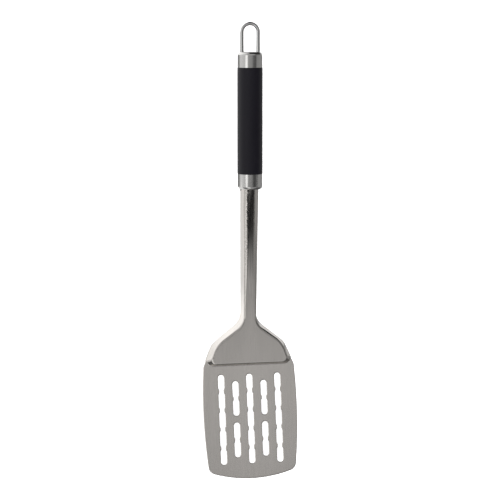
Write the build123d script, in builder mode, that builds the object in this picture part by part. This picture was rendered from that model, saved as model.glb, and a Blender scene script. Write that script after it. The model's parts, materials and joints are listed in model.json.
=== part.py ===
from build123d import *
import os
from math import cos, radians, sin, sqrt, tan

os.makedirs("parts", exist_ok=True)

# Grill spatula, lengths in millimetres, angles in degrees.
# The origin is the middle of the grip on the handle's axis. +Y runs along the handle towards
# the hanging loop, +Z is the side that faces up in use, and +X runs across the tool.

# ---------------------------------------------------------------- driving dimensions

sheet = 1.5  # thickness of the pressed steel head
near = 0.01  # points closer than this count as one place

# handle
grip_length = 102.6
grip_radius = 12.2
grip_bore_radius = 10.65
grip_edge_radius = 0.5
ferrule_radius = 11.9
ferrule_length = 14.9
ferrule_wall = 0.8
ferrule_edge_radius = 2.8
seam_gap = 0.1  # between a metal rim and the end of the grip
fit_gap = 0.05  # bonded seat between two round pieces
mouth_gap = 0.2  # between the channel and the front ferrule's mouth
mould_gap = 0.1  # around the tang and between the two core halves

# hanging loop
wire_radius = 1.75
loop_half_pitch = 8.05  # from the handle's axis to a leg's centre
loop_reach = 28.8  # how far the loop stands out of the end cap
head_radius = 2.7  # upset heads on the wire's ends
head_height = 1.2
head_rim_radius = 0.5
keeper_thickness = 1.5
keeper_radius = 10.6
keeper_chamfer = 1.35  # clears the rounded corner inside the end cap
leg_hole_gap = 0.1
loop_head_room = 0.8  # between the wire's heads and the core

# pressed head: arched channel at the ferrule, flat-topped channel at the shoulder
arch_half_width = 8.7
arch_corner_radius = 8.4
arch_top = 6.3  # height of the arch above the handle's axis
arch_height = 12.1
head_setback = 2.0  # from the front ferrule's face to the bend between tang and shaft
tang_end = 10.0
tang_floor = -4.0  # lower edge of the tang's walls inside the handle
tang_step = 2.0  # length of the slope down to the channel's full depth
head_droop = 2.55  # slope of the shaft's top line below the handle's axis
shaft_length = 122.0
shoulder_length = 53.9
neck_half_width = 6.3
neck_height = 10.4
neck_draft = 7.7
foot_sweep_radius = 80.0  # bend of the walls' lower edge, where it turns up along the blade
plateau_edge_radius = 2.0
crown_inset = 1.1  # offsets that leave the drafted walls one sheet thick
foot_inset = 1.57
least_radius = 0.5  # smallest bend inside the sheet

# blade
blade_rise = 10.5  # slope of the blade above the handle's axis, towards its tip
blade_length = 112.2
blade_half_width = 47.4
widest_point = 41.8  # distance of the widest place from the heel
side_radius = 540.0
tip_radius = 130.0
corner_radius = 8.5
edge_radius = 0.55
under_edge_radius = 0.4
step_height = 3.8
step_run = 2.3
gusset_length = 9.0  # flat corners that run from the heel back to the shoulder's walls
gusset_half_width = 41.3
gusset_radius = 9.0

# slots
slot_width = 6.2
pinch_width = 4.4
pinch_pitch = 18.7
lobe_gap = 1.2  # straight pinch between the round ends of two lobes
long_slot = 88.5
short_slot = 34.2
short_slot_shift = 20.45  # from the pattern's centre to a short slot's centre
column_pitch = 14.25
slot_centre = 53.2  # distance of the pattern's centre from the heel
pinch_radius = 1.5

# core and rivets
rivet_stations = (-42.0, -8.0, 37.0)
rivet_radius = 2.0
rivet_head_radius = 4.0
rivet_head_height = 1.0
rivet_floor = 8.7  # height of the counterbore's floor above the axis
core_wall = 2.6
rib_half_width = 4.5
rear_wall = 3.0
nose_setback = 0.3  # end of the lower half's keel behind the ferrule's front face
nose_room = 4.4  # between the front ferrule's closed end and the core

# ---------------------------------------------------------------- derived places

grip_half = grip_length / 2
rim = grip_half + seam_gap
front_face = -(rim + ferrule_length)
rear_face = rim + ferrule_length
ferrule_bore = ferrule_radius - ferrule_wall
collar_radius = ferrule_bore - fit_gap
core_radius = grip_bore_radius - fit_gap
keeper_face = rear_face - ferrule_wall - keeper_thickness
core_rear = keeper_face - head_height - loop_head_room
core_front = front_face + ferrule_wall + nose_room
arch_floor = arch_top - arch_height
split_height = tang_floor - mould_gap / 2

head_start = front_face + head_setback
head_plane = Plane(
    origin=(0, head_start, arch_top),
    x_dir=(1, 0, 0),
    z_dir=(0, -sin(radians(head_droop)), cos(radians(head_droop))),
)

tang_plane = Plane(origin=(0, head_start, arch_top), x_dir=(1, 0, 0), z_dir=(0, -1, 0))


def along_head(distance, depth=0.0):
    """Point on the head's centre line, a distance towards the blade and a depth below its top."""
    return head_plane.from_local_coords((0, -distance, -depth))


def station(distance):
    """Plane across the shaft, its y axis standing on the shaft's top line."""
    return Plane(origin=along_head(distance), x_dir=(1, 0, 0), z_dir=-head_plane.y_dir)


def level(depth):
    """Plane parallel to the shoulder's top face, a depth below it."""
    return Plane(origin=along_head(0, depth), x_dir=(1, 0, 0), z_dir=head_plane.z_dir)


# The shoulder's front edge, and the heel, where the step lands on the blade.
shoulder_front = shaft_length + shoulder_length
heel = along_head(shoulder_front + step_run, step_height)
blade_plane = Plane(
    origin=heel,
    x_dir=(1, 0, 0),
    z_dir=(0, sin(radians(blade_rise)), cos(radians(blade_rise))),
)

# ---------------------------------------------------------------- shared profiles


def channel_section(plane, half_width, corner, height, draft, inset=0.0):
    """Section of the pressed channel. An inset gives the section of the hollow under the sheet."""
    slope = tan(radians(draft))
    top = half_width + inset * (slope - 1 / cos(radians(draft)))
    foot_x = half_width + height * slope - inset / cos(radians(draft))
    with BuildSketch(plane) as section:
        with BuildLine():
            wall_line = FilletPolyline(
                (foot_x, -height),
                (top, -inset),
                (-top, -inset),
                (-foot_x, -height),
                radius=max(corner - inset, least_radius),
            )
            Line(wall_line @ 1, wall_line @ 0)
        make_face()
    return section.sketch


def shoulder_outline(plane, start, corners, radii, inset=0.0):
    """Plan outline of the shoulder, from the shaft's end to its front edge.

    start is the shaft's half width. corners are the outline's three corners on one side, as
    (half width, distance along the head), and radii round them. An inset outline runs back into
    the shaft, so that the hollow it cuts is open at that end.
    """
    right = [(start, -shaft_length)] + [(x, -y) for x, y in corners]
    left = [(-x, y) for x, y in reversed(right)]
    rounding = [0, *radii, *reversed(radii), 0]
    with BuildSketch(plane) as outline:
        with BuildLine():
            FilletPolyline(*right, *left, radius=rounding, close=True)
        make_face()
        if inset:
            offset(amount=-inset)
            with Locations((0, -shaft_length)):
                Rectangle(2 * (start - inset), 4 * inset)
    return outline.sketch


# ---------------------------------------------------------------- blade_head

# The shoulder is drafted: its foot outline lies below and outside its top outline.
neck_foot = neck_half_width + neck_height * tan(radians(neck_draft))
plateau_corners = [(neck_half_width, 136.7), (34.0, 156.1), (39.4, shoulder_front)]
plateau_radii = [17.0, 30.0, 5.0]
foot_corners = [(neck_foot, 133.8), (36.8, 157.0), (51.5, shoulder_front + 6.2)]
foot_radii = [17.5, 14.0, 6.0]


def head_form(inset, top_inset, low_inset):
    """Solid under the outer face of shaft and shoulder, or with insets the hollow under the sheet."""
    arch = channel_section(tang_plane, arch_half_width, arch_corner_radius, arch_height, 0, inset)
    neck = channel_section(
        station(shaft_length), neck_half_width, plateau_edge_radius, neck_height, neck_draft, inset
    )
    crown = shoulder_outline(level(inset), neck_half_width, plateau_corners, plateau_radii, top_inset)
    foot = shoulder_outline(level(neck_height), neck_foot, foot_corners, foot_radii, low_inset)
    with BuildPart() as form:
        loft([crown, foot], ruled=True)
        top_face = form.faces().sort_by(Axis.Z)[-1]
        rim_edges = top_face.edges().sort_by(Axis.Y)[:-1]
        fillet(rim_edges, radius=max(plateau_edge_radius - inset, least_radius))
        loft([arch, neck], ruled=True)
        extrude(arch, amount=head_start - tang_end)
    return form.part


def wavy_slot(length, pinches):
    """Slot along y, narrowed at evenly spaced pinches between its round-ended lobes."""
    pinch_places = [(i - (pinches - 1) / 2) * pinch_pitch for i in range(pinches)]
    end = (length + lobe_gap) / 2
    lobe_limits = [-end, *pinch_places, end]
    with BuildSketch() as slot:
        for low, high in zip(lobe_limits, lobe_limits[1:]):
            with Locations((0, (low + high) / 2)):
                SlotOverall(high - low - lobe_gap, slot_width, rotation=90)
        Rectangle(pinch_width, length - 2 * slot_width)
        pinch_corners = slot.vertices().filter_by(
            lambda v: abs(abs(v.X) - pinch_width / 2) < near and abs(v.Y) < length / 2 - slot_width
        )
        fillet(pinch_corners, radius=pinch_radius)
    return slot.sketch


outer_form = head_form(0, 0, 0)
hollow = head_form(sheet, crown_inset, foot_inset)

# Flat slotted blade, drawn from the heel towards -y. Behind the heel it narrows to the walls.
heel_half_width = blade_half_width - side_radius + sqrt(side_radius**2 - widest_point**2)
blade_rear = [(gusset_half_width, gusset_length), (heel_half_width, 0)]
long_places = [(i * column_pitch, -slot_centre) for i in (-2, 0, 2)]
short_places = [(i * column_pitch, j * short_slot_shift - slot_centre) for i in (-1, 1) for j in (-1, 1)]
with BuildSketch(blade_plane) as blade_outline:
    for side in (1, -1):
        with Locations((side * (blade_half_width - side_radius), -widest_point)):
            Circle(side_radius, mode=Mode.ADD if side == 1 else Mode.INTERSECT)
    with Locations((0, tip_radius - blade_length)):
        Circle(tip_radius, mode=Mode.INTERSECT)
    Rectangle(
        3 * blade_half_width, 2 * blade_length, align=(Align.CENTER, Align.MAX), mode=Mode.INTERSECT
    )
    fillet(blade_outline.vertices().group_by(Axis.Y)[0], radius=corner_radius)
    with BuildLine():
        Polyline(*blade_rear, *[(-x, y) for x, y in reversed(blade_rear)], close=True)
    make_face()
    heel_corners = blade_outline.vertices().filter_by(lambda v: abs(v.Y) < near)
    fillet(heel_corners, radius=gusset_radius)
    with Locations(*long_places):
        add(wavy_slot(long_slot, 4), mode=Mode.SUBTRACT)
    with Locations(*short_places):
        add(wavy_slot(short_slot, 1), mode=Mode.SUBTRACT)


def broad_edges(plate, index):
    """Edges round a flat face of the blade, but not its rear one: index -1 is the top, 0 the underside."""
    flat_faces = plate.faces().filter_by(GeomType.PLANE)
    face = flat_faces.sort_by(Axis(blade_plane.origin, blade_plane.z_dir))[index]
    return face.edges().sort_by(Axis(blade_plane.origin, blade_plane.y_dir))[:-1]


with BuildPart() as blade:
    extrude(blade_outline.sketch, amount=-sheet)
    fillet(broad_edges(blade, -1), radius=edge_radius)
    fillet(broad_edges(blade, 0), radius=under_edge_radius)

# Side view of what is cut away below the sheet: tang walls, wall feet, then the blade's underside.
# The feet run along the shaft, then bend into the plane of the underside behind the heel.
under_blade = blade_plane.offset(-sheet)
clear_below = -40.0
head_bend = radians(head_droop + blade_rise)
foot_run = (neck_height - step_height - sheet * cos(head_bend)) / sin(head_bend)
neck_low = along_head(shaft_length, neck_height)
foot_bend = under_blade.from_local_coords((0, foot_run))
tip_low = under_blade.from_local_coords((0, -blade_length))
with BuildSketch(Plane.YZ) as under_cut:
    with BuildLine():
        FilletPolyline(
            (tang_end, tang_floor),
            (core_front, tang_floor),
            (core_front - tang_step, arch_floor),
            (neck_low.Y, neck_low.Z),
            (foot_bend.Y, foot_bend.Z),
            (tip_low.Y, tip_low.Z),
            (tip_low.Y, clear_below),
            (tang_end, clear_below),
            radius=[0, 0, 0, 0, foot_sweep_radius, 0, 0, 0],
            close=True,
        )
    make_face()

with BuildPart() as blade_head:
    add(outer_form)
    add(blade.part)
    add(hollow, mode=Mode.SUBTRACT)
    extrude(under_cut.sketch, amount=2 * blade_half_width, both=True, mode=Mode.SUBTRACT)
    with Locations(*[(0, y, 0) for y in rivet_stations[:2]]):
        Hole(rivet_radius + mould_gap)
blade_head.part.label = "blade_head"
export_step(blade_head.part, "parts/blade_head.step")

# ---------------------------------------------------------------- front_ferrule and end_cap


def drawn_cup(closed_face, direction):
    """Steel cup drawn round the y axis, its closed end at closed_face and its rim the other way."""
    open_face = closed_face - direction * ferrule_length
    inner_face = closed_face - direction * ferrule_wall
    with BuildPart() as cup:
        with BuildSketch(Plane.XY) as half_section:
            with BuildLine():
                Polyline(
                    (0, closed_face),
                    (ferrule_radius, closed_face),
                    (ferrule_radius, open_face),
                    (ferrule_bore, open_face),
                    (ferrule_bore, inner_face),
                    (0, inner_face),
                    close=True,
                )
            make_face()
            outer_corner = half_section.vertices().filter_by(
                lambda v: abs(v.X - ferrule_radius) < near and abs(v.Y - closed_face) < near
            )
            fillet(outer_corner, radius=ferrule_edge_radius)
            inner_corner = half_section.vertices().filter_by(
                lambda v: abs(v.X - ferrule_bore) < near and abs(v.Y - inner_face) < near
            )
            fillet(inner_corner, radius=ferrule_edge_radius - ferrule_wall)
        revolve(axis=Axis.Y)
    return cup.part


# The front ferrule's mouth follows the channel's outline.
with BuildPart() as front_ferrule:
    add(drawn_cup(front_face, -1))
    mouth = channel_section(
        tang_plane, arch_half_width, arch_corner_radius, arch_height + 2 * mouth_gap, 0, -mouth_gap
    )
    extrude(mouth, amount=2 * ferrule_wall + ferrule_edge_radius, mode=Mode.SUBTRACT)
front_ferrule.part.label = "front_ferrule"
export_step(front_ferrule.part, "parts/front_ferrule.step")

leg_places = [(side * loop_half_pitch, 0) for side in (-1, 1)]
with BuildPart() as end_cap:
    add(drawn_cup(rear_face, 1))
    with BuildSketch(Plane.XZ.offset(-rear_face)):
        with Locations(*leg_places):
            Circle(wire_radius + leg_hole_gap)
    extrude(amount=ferrule_edge_radius, mode=Mode.SUBTRACT)
end_cap.part.label = "end_cap"
export_step(end_cap.part, "parts/end_cap.step")

# ---------------------------------------------------------------- hanging_loop and loop_keeper

# Round wire, bent to a U, with both ends headed over behind the keeper.
loop_top = rear_face + loop_reach
bend_centre = loop_top - wire_radius - loop_half_pitch
with BuildPart() as hanging_loop:
    with BuildLine(Plane.XY) as wire_path:
        leg = Line((loop_half_pitch, keeper_face), (loop_half_pitch, bend_centre))
        bow = CenterArc((0, bend_centre), loop_half_pitch, 0, 180)
        Line(bow @ 1, (-loop_half_pitch, keeper_face))
    with BuildSketch(Plane(origin=leg @ 0, z_dir=leg % 0)):
        Circle(wire_radius)
    sweep()
    with BuildSketch(Plane.XZ.offset(-keeper_face)):
        with Locations(*leg_places):
            Circle(head_radius)
    extrude(amount=head_height)
    head_rims = hanging_loop.edges().filter_by(GeomType.CIRCLE).sort_by(Axis.Y)[:2]
    fillet(head_rims, radius=head_rim_radius)
hanging_loop.part.label = "hanging_loop"
export_step(hanging_loop.part, "parts/hanging_loop.step")

with BuildPart() as loop_keeper:
    with BuildSketch(Plane.XZ.offset(-keeper_face)):
        Circle(keeper_radius)
    extrude(amount=-(keeper_thickness - fit_gap))
    chamfer(loop_keeper.edges().sort_by(Axis.Y)[-1], length=keeper_chamfer)
    with BuildSketch(Plane.XZ.offset(-keeper_face)):
        with Locations(*leg_places):
            Circle(wire_radius + leg_hole_gap)
    extrude(amount=-keeper_thickness, mode=Mode.SUBTRACT)
loop_keeper.part.label = "loop_keeper"
export_step(loop_keeper.part, "parts/loop_keeper.step")

# ---------------------------------------------------------------- grip_sleeve

with BuildPart() as grip_sleeve:
    Cylinder(grip_radius, grip_length, rotation=(90, 0, 0))
    end_edges = grip_sleeve.edges().filter_by(GeomType.CIRCLE)
    fillet(end_edges, radius=grip_edge_radius)
    Cylinder(grip_bore_radius, grip_length, rotation=(90, 0, 0), mode=Mode.SUBTRACT)
grip_sleeve.part.label = "grip_sleeve"
export_step(grip_sleeve.part, "parts/grip_sleeve.step")

# ---------------------------------------------------------------- core_upper and core_lower


def core_blank():
    """Round core with a collar at each end that carries a ferrule, bored for the rivets."""
    with BuildPart() as blank:
        with BuildSketch(Plane.XY):
            with BuildLine():
                Polyline(
                    (0, core_front),
                    (collar_radius, core_front),
                    (collar_radius, -rim),
                    (core_radius, -rim),
                    (core_radius, rim),
                    (collar_radius, rim),
                    (collar_radius, core_rear),
                    (0, core_rear),
                    close=True,
                )
            make_face()
        revolve(axis=Axis.Y)
        for side in (1, -1):
            with BuildSketch(Plane.XY.offset(side * rivet_floor)):
                with Locations(*[(0, y) for y in rivet_stations]):
                    Circle(rivet_head_radius + mould_gap)
            extrude(amount=side * core_radius, mode=Mode.SUBTRACT)
        with Locations(*[(0, y, 0) for y in rivet_stations]):
            Hole(rivet_radius + fit_gap)
    return blank.part


def core_pockets():
    """Hollows behind the tang, on both sides of the rear rivet's rib."""
    pocket_radius = core_radius - core_wall
    rib_front = rivet_stations[2] - rib_half_width
    rib_rear = rivet_stations[2] + rib_half_width
    with BuildPart() as pockets:
        for low, high in ((tang_end + core_wall, rib_front), (rib_rear, core_rear - rear_wall)):
            with BuildSketch(Plane.XZ.offset(-low)):
                Circle(pocket_radius)
            extrude(amount=low - high)
    return pockets.part


tang_room = channel_section(tang_plane, arch_half_width, arch_corner_radius, arch_height, 0, -mould_gap)
with BuildPart() as core_upper:
    add(core_blank())
    add(core_pockets(), mode=Mode.SUBTRACT)
    extrude(tang_room, amount=head_start - tang_end - mould_gap, mode=Mode.SUBTRACT)
    split(bisect_by=Plane.XY.offset(split_height + mould_gap / 2), keep=Keep.TOP)
core_upper.part.label = "core_upper"
export_step(core_upper.part, "parts/core_upper.step")

keel_section = channel_section(
    tang_plane, arch_half_width, arch_corner_radius, arch_height, 0, sheet + mould_gap
)
with BuildPart() as core_lower:
    add(core_blank())
    add(core_pockets(), mode=Mode.SUBTRACT)
    split(bisect_by=Plane.XY.offset(split_height - mould_gap / 2), keep=Keep.BOTTOM)
    extrude(keel_section, amount=head_start - tang_end)
    extrude(keel_section, amount=head_start - front_face - nose_setback)
    with Locations(*[(0, y, 0) for y in rivet_stations]):
        Hole(rivet_radius + fit_gap)
core_lower.part.label = "core_lower"
export_step(core_lower.part, "parts/core_lower.step")

# ---------------------------------------------------------------- core_rivets

with BuildPart() as core_rivets:
    with Locations(*[(0, y, 0) for y in rivet_stations]):
        Cylinder(rivet_radius, 2 * rivet_floor)
        for side in (1, -1):
            with Locations((0, 0, side * (rivet_floor + rivet_head_height / 2))):
                Cylinder(rivet_head_radius, rivet_head_height)
core_rivets.part.label = "core_rivets"
export_step(core_rivets.part, "parts/core_rivets.step")
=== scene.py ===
import json
import math

import bpy
from mathutils import Matrix, Vector


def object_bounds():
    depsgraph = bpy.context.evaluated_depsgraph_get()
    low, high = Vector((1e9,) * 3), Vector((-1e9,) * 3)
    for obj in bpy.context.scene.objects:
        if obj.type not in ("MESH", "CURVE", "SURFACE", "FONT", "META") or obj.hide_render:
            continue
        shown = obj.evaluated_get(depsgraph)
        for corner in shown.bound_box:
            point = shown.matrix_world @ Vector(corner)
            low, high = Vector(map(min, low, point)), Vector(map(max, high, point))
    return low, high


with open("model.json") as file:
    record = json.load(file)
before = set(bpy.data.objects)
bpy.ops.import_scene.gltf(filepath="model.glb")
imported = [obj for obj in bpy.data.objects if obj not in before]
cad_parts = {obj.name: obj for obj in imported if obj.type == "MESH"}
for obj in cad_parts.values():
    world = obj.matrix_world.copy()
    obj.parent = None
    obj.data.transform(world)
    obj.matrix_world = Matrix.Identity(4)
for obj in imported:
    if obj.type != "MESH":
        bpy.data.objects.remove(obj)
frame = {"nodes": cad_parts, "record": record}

cad_low, cad_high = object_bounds()
MIDDLE_Y = (cad_low.y + cad_high.y) / 2

# Lengths are metres, unless noted, in the tool's frame: +Y towards its loop, +Z up in use, +X across.

# ---------------------------------------------------------------- sizes and places

# camera
ROLL = math.radians(12.0)  # the camera leans to the tool's left
TILT = math.radians(8.0)  # and a little towards its hanging loop
CAMERA_DISTANCE = 1.6
FRAME_WIDTH = 0.4898  # width of the picture at the handle's axis
SENSOR_WIDTH = 36.0  # millimetres, and so is the lens
AIM_SHIFT = 0.0024  # picture centre, from the middle of the tool towards the loop

# floor
FLOOR_HALF_SIZE = 4.0
FLOOR_GREY = 0.9
FLOOR_GLOW = 0.62

# black card above the tool: corners (x, y) down its left side to the narrow end, then up its right
FLAG_HEIGHT = 1.5
FLAG_OUTLINE = (
    (-0.93, -0.335),
    (-3.6, -0.357),
    (-0.375, -0.463),
    (0.0, -0.558),
    (0.9, -0.558),
    (1.35, -0.463),
    (4.8, -0.357),
    (3.6, -0.335),
)
FLAG_FADE = (-0.455, -0.558)  # black as far as the first y, then turning grey as far as the second

# white card beside the shaft
BOUNCE_GAP = 0.0005  # height above the floor
BOUNCE_ALONG = (-0.262, -0.069)
BOUNCE_WIDTH = 0.5

# soft lamp over the floor
LAMP_SIZE = 3.0
LAMP_POWER = 60.0  # watts
LAMP_PLACE = (0.0, -0.12, 2.0)

# steel head
SATIN_FADE = (-0.150, -0.190)  # polished as far as the first y, satin from the second on
EASED_EDGE = 0.0013  # radius over which edges are shaded round

# most values of a noise texture lie between these two
NOISE_LOW = 0.3
NOISE_HIGH = 0.7

# ---------------------------------------------------------------- node trees


class Graph:
    """Short calls that build one node tree."""

    def __init__(self, tree):
        self.tree = tree
        tree.nodes.clear()

    def add(self, kind, inputs=None, **settings):
        node = self.tree.nodes.new(kind)
        for name, value in settings.items():
            setattr(node, name, value)
        for name, value in (inputs or {}).items():
            self.feed(node.inputs[name], value)
        return node

    def feed(self, socket, value):
        if isinstance(value, bpy.types.NodeSocket):
            self.tree.links.new(value, socket)
        elif isinstance(value, (tuple, list)) and len(value) == 3 and socket.type == "RGBA":
            socket.default_value = (*value, 1.0)
        else:
            socket.default_value = value

    def math(self, operation, *values):
        node = self.add("ShaderNodeMath", operation=operation)
        for socket, value in zip(node.inputs, values):
            self.feed(socket, value)
        return node.outputs[0]

    def times(self, a, b):
        return self.math("MULTIPLY", a, b)

    def ramp(self, factor, stops):
        """Grey ramp through (place, grey) stops."""
        node = self.add("ShaderNodeValToRGB", {"Fac": factor})
        elements = node.color_ramp.elements
        while len(elements) < len(stops):
            elements.new(0.5)
        for element, (place, grey) in zip(elements, stops):
            element.position = place
            element.color = (grey, grey, grey, 1.0)
        return node.outputs["Color"]

    def span(self, value, low, high, to_low=0.0, to_high=1.0, smooth=False):
        """Value mapped from low..high to to_low..to_high and held at both ends."""
        kind = "SMOOTHSTEP" if smooth else "LINEAR"
        ends = {"Value": value, "From Min": low, "From Max": high, "To Min": to_low, "To Max": to_high}
        return self.add("ShaderNodeMapRange", ends, interpolation_type=kind).outputs["Result"]

    def noise_span(self, noise, to_low, to_high):
        return self.span(noise, NOISE_LOW, NOISE_HIGH, to_low, to_high)

    def mix(self, factor, a, b, blend="MIX"):
        """Mix of two colours. The node has sockets of the same name, so they go by number."""
        node = self.add("ShaderNodeMix", data_type="RGBA", blend_type=blend)
        self.feed(node.inputs[0], factor)
        self.feed(node.inputs[6], a)
        self.feed(node.inputs[7], b)
        return node.outputs[2]

    def mix_values(self, factor, a, b):
        node = self.add("ShaderNodeMix", {0: factor, 2: a, 3: b}, data_type="FLOAT")
        return node.outputs[0]

    def noise(self, place, scale, detail=2.0, roughness=0.5, stretch=(1, 1, 1)):
        mapped = self.add("ShaderNodeMapping", {"Vector": place, "Scale": stretch})
        inputs = {"Vector": mapped.outputs[0], "Scale": scale, "Detail": detail, "Roughness": roughness}
        return self.add("ShaderNodeTexNoise", inputs).outputs[0]

    def bump(self, height, strength, distance, normal=None):
        inputs = {"Height": height, "Strength": strength, "Distance": distance}
        if normal is not None:
            inputs["Normal"] = normal
        return self.add("ShaderNodeBump", inputs).outputs[0]


def material_graph(name):
    material = bpy.data.materials.new(name)
    material.use_nodes = True
    return material, Graph(material.node_tree)


def place_of(graph):
    """Place of a surface point in its object's own frame, in metres."""
    return graph.add("ShaderNodeTexCoord").outputs["Object"]


def along_tool(graph, place):
    """The place's y, which counts along the tool for the steel head and for the two cards."""
    return graph.add("ShaderNodeSeparateXYZ", {"Vector": place}).outputs["Y"]


def finish_surface(graph, inputs):
    shader = graph.add("ShaderNodeBsdfPrincipled", inputs)
    output = graph.add("ShaderNodeOutputMaterial")
    graph.tree.links.new(shader.outputs[0], output.inputs["Surface"])


# ---------------------------------------------------------------- materials


def blade_steel():
    """Pressed stainless sheet, brushed along the tool. The shaft is polished, the blade is satin."""
    material, g = material_graph("blade_steel")
    place = place_of(g)
    satin = g.span(along_tool(g, place), *SATIN_FADE, smooth=True)

    streaks = g.noise(place, 1.0, detail=3.0, stretch=(420, 9, 60))
    lines = g.noise(place, 1.0, detail=3.0, stretch=(950, 5, 950))
    clouds = g.noise(place, 1.0, stretch=(35, 12, 35))
    scratches = g.noise(place, 1.0, stretch=(5200, 60, 700))

    tint = g.mix(streaks, (0.640, 0.602, 0.577), (0.626, 0.606, 0.568))
    line_low = g.span(satin, 0.0, 1.0, 0.88, 0.975)
    line_high = g.span(satin, 0.0, 1.0, 1.08, 1.015)
    line_shade = g.span(lines, 0.35, 0.65, line_low, line_high)
    shade = g.times(line_shade, g.noise_span(clouds, 0.98, 1.015))
    grey = g.add("ShaderNodeCombineColor", {0: shade, 1: shade, 2: shade}).outputs[0]

    polished = g.noise_span(streaks, 0.095, 0.125)
    brushed = g.noise_span(streaks, 0.18, 0.21)
    eased = g.add("ShaderNodeBevel", {"Radius": EASED_EDGE}, samples=12).outputs[0]
    finish_surface(
        g,
        {
            "Base Color": g.mix(1.0, tint, grey, "MULTIPLY"),
            "Metallic": 1.0,
            "Roughness": g.mix_values(satin, polished, brushed),
            "Anisotropic": g.span(satin, 0.0, 1.0, 0.45, 0.40),
            "Tangent": (1.0, 0.0, 0.0),
            "Normal": g.bump(scratches, 0.12, 0.00004, eased),
        },
    )
    return material


def ferrule_steel():
    """Fine-turned stainless: hairlines run round the handle."""
    material, g = material_graph("ferrule_steel")
    place = place_of(g)
    rings = g.noise(place, 1.0, detail=3.0, stretch=(30, 6500, 30))
    clouds = g.noise(place, 1.0, stretch=(90, 90, 90))
    finish_surface(
        g,
        {
            "Base Color": g.mix(clouds, (0.60, 0.59, 0.575), (0.645, 0.64, 0.625)),
            "Metallic": 1.0,
            "Roughness": g.noise_span(rings, 0.11, 0.17),
            "Normal": g.bump(rings, 0.08, 0.00003),
        },
    )
    return material


def bright_wire():
    """Drawn and polished wire with faint draw lines along it."""
    material, g = material_graph("bright_wire")
    lines = g.noise(place_of(g), 1.0, stretch=(3500, 120, 3500))
    finish_surface(
        g,
        {
            "Base Color": g.mix(lines, (0.60, 0.595, 0.59), (0.66, 0.655, 0.65)),
            "Metallic": 1.0,
            "Roughness": g.noise_span(lines, 0.04, 0.08),
        },
    )
    return material


def soft_grip():
    """Near-black soft-touch rubber with a fine moulded grain."""
    material, g = material_graph("soft_grip")
    place = place_of(g)
    grain = g.noise(place, 3800.0, roughness=0.6)
    handling = g.noise(place, 1.0, detail=3.0, stretch=(60, 30, 60))
    finish_surface(
        g,
        {
            "Base Color": g.mix(handling, (0.0018, 0.0014, 0.0036), (0.0036, 0.0030, 0.0060)),
            "Roughness": g.noise_span(handling, 0.40, 0.48),
            "Specular IOR Level": 0.26,
            "Sheen Weight": 0.03,
            "Sheen Roughness": 0.5,
            "Normal": g.bump(grain, 0.25, 0.00006),
        },
    )
    return material


def core_plastic():
    """Moulded black plastic with a faint erosion texture."""
    material, g = material_graph("core_plastic")
    place = place_of(g)
    grain = g.noise(place, 1600.0, detail=3.0)
    flow = g.noise(place, 1.0, stretch=(80, 20, 80))
    finish_surface(
        g,
        {
            "Base Color": g.mix(flow, (0.028, 0.028, 0.03), (0.042, 0.042, 0.044)),
            "Roughness": g.noise_span(grain, 0.42, 0.58),
            "Normal": g.bump(grain, 0.2, 0.00008),
        },
    )
    return material


def rivet_alloy():
    """Headed aluminium with hammer-dulled faces."""
    material, g = material_graph("rivet_alloy")
    dull = g.noise(place_of(g), 900.0, detail=3.0)
    finish_surface(
        g,
        {
            "Base Color": g.mix(dull, (0.66, 0.66, 0.67), (0.76, 0.76, 0.77)),
            "Metallic": 1.0,
            "Roughness": g.noise_span(dull, 0.28, 0.45),
            "Normal": g.bump(dull, 0.15, 0.0001),
        },
    )
    return material


def dress_pieces():
    """Gives each piece of the tool the material that its record names, and even shading."""
    materials = {
        "blade_steel": blade_steel(),
        "ferrule_steel": ferrule_steel(),
        "bright_wire": bright_wire(),
        "soft_grip": soft_grip(),
        "core_plastic": core_plastic(),
        "rivet_alloy": rivet_alloy(),
    }
    for part in frame["record"]["subparts"]:
        node = frame["nodes"][part["node"]]
        node.data.materials.clear()
        node.data.materials.append(materials[part["material_slot"]])
        even = node.modifiers.new("even_shading", "WEIGHTED_NORMAL")
        even.keep_sharp = True


# ---------------------------------------------------------------- floor and cards


def flat_sheet(name, corners, place, material):
    """Level sheet that belongs to the stage and not to the tool."""
    mesh = bpy.data.meshes.new(name)
    mesh.from_pydata([(x, y, 0.0) for x, y in corners], [], [range(len(corners))])
    mesh.materials.append(material)
    sheet = bpy.data.objects.new(name, mesh)
    sheet.location = place
    bpy.context.scene.collection.objects.link(sheet)
    return sheet


def floor():
    """Pale floor with a glow of its own that lifts the shadows. The steel doesn't mirror it."""
    material, g = material_graph("floor_paper")
    finish_surface(
        g,
        {
            "Base Color": (FLOOR_GREY, FLOOR_GREY, FLOOR_GREY),
            "Roughness": 0.9,
            "Specular IOR Level": 0.0,
            "Emission Color": (1.0, 1.0, 1.0),
            "Emission Strength": FLOOR_GLOW,
        },
    )
    size = FLOOR_HALF_SIZE
    corners = ((-size, -size), (size, -size), (size, size), (-size, size))
    sheet = flat_sheet("floor", corners, (0.0, MIDDLE_Y, cad_low.z), material)
    sheet.visible_glossy = False


def card(name, corners, height, material):
    """Sheet that only shows in reflections."""
    sheet = flat_sheet(name, corners, (0.0, 0.0, height), material)
    sheet.visible_camera = False
    sheet.visible_diffuse = False
    sheet.visible_shadow = False


def flag():
    """Black card over the tool: the polished upper shaft mirrors it as a dark band that narrows."""
    material, g = material_graph("flag_cloth")
    fade = g.span(along_tool(g, place_of(g)), *FLAG_FADE)
    glow = g.ramp(fade, [(0.0, 0.0), (0.12, 0.12), (0.32, 0.22), (0.65, 0.32), (1.0, 0.50)])
    finish_surface(
        g,
        {
            "Base Color": (0.002, 0.002, 0.002),
            "Roughness": 1.0,
            "Specular IOR Level": 0.0,
            "Emission Color": glow,
            "Emission Strength": 1.0,
        },
    )
    card("flag", FLAG_OUTLINE, FLAG_HEIGHT, material)


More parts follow.
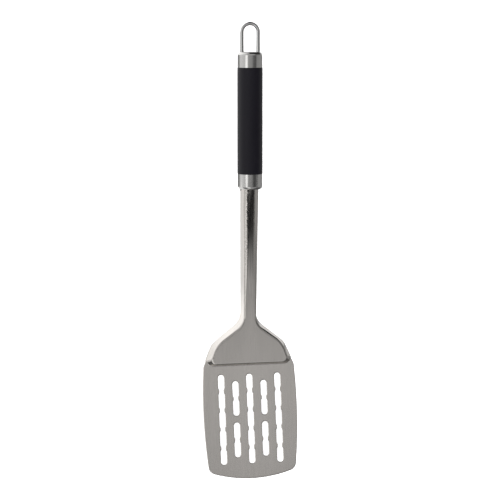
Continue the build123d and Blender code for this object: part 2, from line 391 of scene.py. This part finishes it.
def bounce():
    """White card beside the shaft: the left walls of shaft and shoulder mirror it."""
    material, g = material_graph("bounce_card")
    along = along_tool(g, place_of(g))
    # brightest where the shaft widens into the shoulder
    rise = g.span(along, -0.16, -0.20, 0.95, 1.50)
    fall = g.span(along, -0.205, -0.235, 1.0, 0.68)
    glow = g.times(rise, fall)
    finish_surface(g, {"Base Color": (0, 0, 0), "Emission Color": (1, 1, 1), "Emission Strength": glow})
    low, high = BOUNCE_ALONG
    corners = ((-BOUNCE_WIDTH, low), (0.0, low), (0.0, high), (-BOUNCE_WIDTH, high))
    card("bounce", corners, cad_low.z + BOUNCE_GAP, material)


# ---------------------------------------------------------------- light


def round_the_tool(g, turn, stops):
    """Light by direction round the handle: stops are (degrees from overhead to the right, grey)."""
    return g.ramp(turn, [((degrees + 180) / 360, grey) for degrees, grey in stops])


def over_handle(g, turn):
    """What the handle and its loop mirror: a bright strip on the left, a dark one right of overhead."""
    return round_the_tool(
        g,
        turn,
        [
            (-180, 0.20),
            (-150, 0.26),
            (-130, 0.36),
            (-116, 0.84),
            (-60, 0.70),
            (-51, 1.55),
            (-38, 1.50),
            (-29, 0.38),
            (5, 0.30),
            (22, 0.09),
            (40, 0.07),
            (60, 0.34),
            (100, 0.38),
            (130, 0.28),
        ],
    )


def over_shaft(g, turn):
    """What shaft and shoulder mirror: white low left, a bright strip left of overhead, a dim right."""
    return round_the_tool(
        g,
        turn,
        [
            (-180, 1.35),
            (-115, 1.25),
            (-90, 0.90),
            (-70, 0.60),
            (-54, 0.46),
            (-42, 0.62),
            (-28, 1.25),
            (-12, 1.10),
            (0, 0.55),
            (20, 0.50),
            (40, 0.36),
            (60, 0.24),
            (95, 0.26),
            (125, 0.40),
        ],
    )


def over_blade(g, turn):
    """What the blade mirrors: even grey overhead, white low on the left, a dark strip on the right."""
    return round_the_tool(
        g,
        turn,
        [
            (-180, 1.5),
            (-125, 1.45),
            (-60, 0.8),
            (-20, 0.58),
            (30, 0.57),
            (46, 0.20),
            (98, 0.16),
            (122, 0.62),
            (180, 1.1),
        ],
    )


def studio():
    """Light that depends only on direction: strips for the handle, for the shaft and for the blade."""
    world = bpy.data.worlds.new("studio")
    world.use_nodes = True
    bpy.context.scene.world = world
    g = Graph(world.node_tree)

    # In the camera's view the y of a mirrored direction tells which part mirrors it. Mostly it is
    # 0.0 to -0.10 for the handle, -0.16 and less for shaft and shoulder, 0.08 and more for the blade.
    direction = g.add("ShaderNodeTexCoord").outputs["Generated"]
    split = g.add("ShaderNodeSeparateXYZ", {"Vector": direction})
    across, along, up = split.outputs["X"], split.outputs["Y"], split.outputs["Z"]
    angle = g.math("ARCTAN2", across, up)
    turn = g.span(angle, -math.pi, math.pi)

    to_shaft = g.span(along, -0.165, -0.205, smooth=True)
    to_blade = g.span(along, -0.02, 0.06, smooth=True)
    handle_or_shaft = g.mix(to_shaft, over_handle(g, turn), over_shaft(g, turn))
    light = g.mix(to_blade, handle_or_shaft, over_blade(g, turn))

    # Low light from far in front is dark: the step to the blade and the ferrule's dome mirror it.
    forward = g.span(along, -0.33, -0.48, smooth=True)
    low_front = g.times(forward, g.span(up, 0.65, 0.35))
    light = g.mix(low_front, light, (0.10, 0.10, 0.10))

    # So is low light from far behind, except on the left: the cap's rim and the loop's bow mirror it.
    backward = g.span(along, 0.36, 0.48, smooth=True)
    low_back = g.times(backward, g.span(up, 0.90, 0.70))
    not_left = g.span(angle, math.radians(-65), math.radians(-20))
    light = g.mix(g.times(low_back, not_left), light, (0.03, 0.03, 0.03))

    background = g.add("ShaderNodeBackground", {"Color": light, "Strength": 1.0})
    output = g.add("ShaderNodeOutputWorld")
    g.tree.links.new(background.outputs[0], output.inputs["Surface"])


def floor_light():
    """Wide soft light overhead that brightens floor and matt surfaces but isn't mirrored in the steel."""
    lamp = bpy.data.lights.new("floor_light", "AREA")
    lamp.shape = "SQUARE"
    lamp.size = LAMP_SIZE
    lamp.energy = LAMP_POWER
    holder = bpy.data.objects.new("floor_light", lamp)
    holder.location = LAMP_PLACE
    holder.visible_glossy = False
    bpy.context.scene.collection.objects.link(holder)


# ---------------------------------------------------------------- camera


def camera():
    middle = Vector((0.0, MIDDLE_Y + AIM_SHIFT, 0.0))
    back = Vector((-math.sin(ROLL) * math.cos(TILT), math.sin(TILT), math.cos(ROLL) * math.cos(TILT)))
    right = Vector((math.cos(ROLL), 0.0, math.sin(ROLL)))
    up = back.cross(right)
    data = bpy.data.cameras.new("camera")
    data.sensor_width = SENSOR_WIDTH
    data.lens = SENSOR_WIDTH * CAMERA_DISTANCE / FRAME_WIDTH
    holder = bpy.data.objects.new("camera", data)
    turn = Matrix((right, up, back)).transposed()
    holder.matrix_world = Matrix.Translation(middle + back * CAMERA_DISTANCE) @ turn.to_4x4()
    bpy.context.scene.collection.objects.link(holder)
    bpy.context.scene.camera = holder


dress_pieces()
floor()
studio()
flag()
bounce()
floor_light()
camera()
bpy.context.scene.view_settings.view_transform = "Standard"
